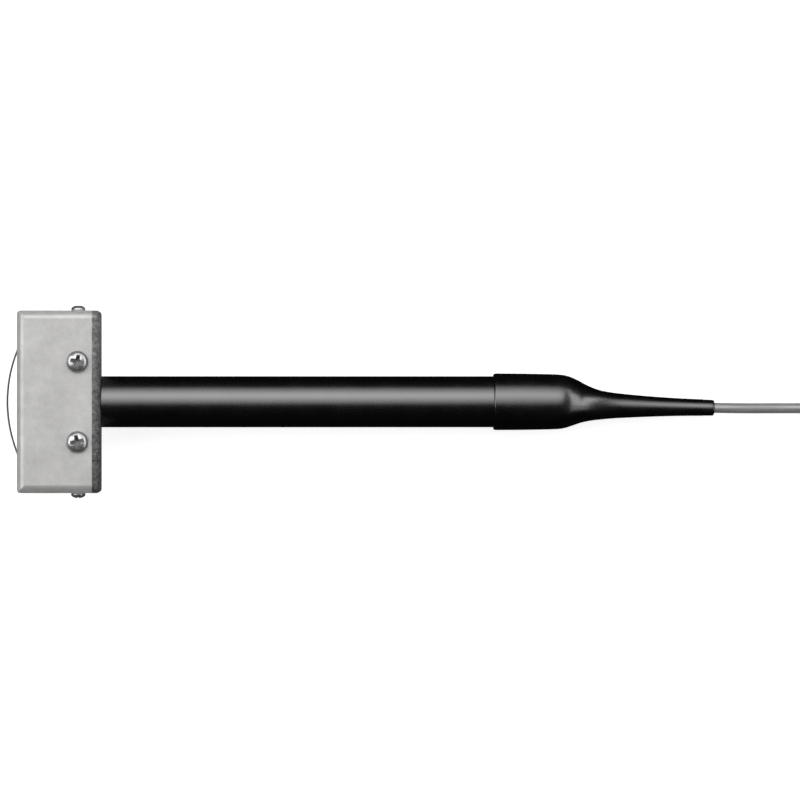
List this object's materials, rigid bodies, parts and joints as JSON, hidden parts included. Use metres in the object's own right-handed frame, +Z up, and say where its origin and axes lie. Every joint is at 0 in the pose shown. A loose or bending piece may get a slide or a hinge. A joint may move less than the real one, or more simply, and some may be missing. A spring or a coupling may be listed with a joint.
{
  "type": "surface temperature probe",
  "caption": "Hand-held surface probe with a bowed ribbon sensor across a flat metal head, a straight black handle, a soft cable boot, and a thin grey lead that ends in a round-pin plug.",
  "frame": {"origin": "centre of the probe's bounding box, on the surface it rests on, without its free cable", "axes": "+X along the handle from the head to the cable, +Y across the head along the ribbon, +Z up out of the head's upper broad face"},
  "size_m": [0.3651, 0.0744, 0.0252],
  "materials": {
    "nickel": "satin nickel plating, finely mottled",
    "cast_metal": "rough die casting, dark grey",
    "screw_steel": "bright nickel plating",
    "ribbon_alloy_positive": "thin rolled alloy ribbon",
    "ribbon_alloy_negative": "thin rolled alloy ribbon",
    "yoke_plastic": "cream heat-proof moulding",
    "handle_black": "black anodised tube, satin",
    "boot_rubber": "black rubber",
    "cable_jacket": "grey PVC jacket",
    "core_red": "red core insulation",
    "core_white": "white core insulation",
    "plug_plastic": "black glass-filled plastic",
    "pin_alloy_positive": "turned pin alloy",
    "pin_alloy_negative": "turned pin alloy",
    "ferrule_metal": "crimped ferrule",
    "tie_nylon": "natural nylon",
    "bush_plastic": "black moulding"
  },
  "bodies": {
    "root": {"head_cover": "nickel", "head_base": "cast_metal", "ribbon_left": "ribbon_alloy_negative", "ribbon_right": "ribbon_alloy_positive", "ribbon_yoke": "yoke_plastic", "ribbon_clamp_left": "screw_steel", "ribbon_clamp_right": "screw_steel", "clamp_screw_left": "screw_steel", "clamp_screw_right": "screw_steel", "yoke_screw_left": "screw_steel", "yoke_screw_right": "screw_steel", "face_screw_top_left": "screw_steel", "face_screw_top_right": "screw_steel", "face_screw_bottom_left": "screw_steel", "face_screw_bottom_right": "screw_steel", "end_screw_left": "screw_steel", "end_screw_right": "screw_steel", "lead_left": "core_white", "lead_right": "core_red", "handle_tube": "handle_black", "cable_bush": "bush_plastic", "crimp_ferrule": "ferrule_metal", "cable_inside": "cable_jacket", "boot": "boot_rubber", "cable_run": "cable_jacket", "cable_coil": "cable_jacket", "cable_end": "cable_jacket", "cable_tie": "tie_nylon", "cable_in_plug": "cable_jacket", "plug_lower": "plug_plastic", "plug_cover": "plug_plastic", "plug_grommet": "boot_rubber", "plug_pin_positive": "pin_alloy_positive", "plug_pin_negative": "pin_alloy_negative", "plug_core_positive": "core_red", "plug_core_negative": "core_white", "terminal_screw_positive": "screw_steel", "terminal_screw_negative": "screw_steel", "plug_screw_left": "screw_steel", "plug_screw_right": "screw_steel"}
  },
  "joints": []
}
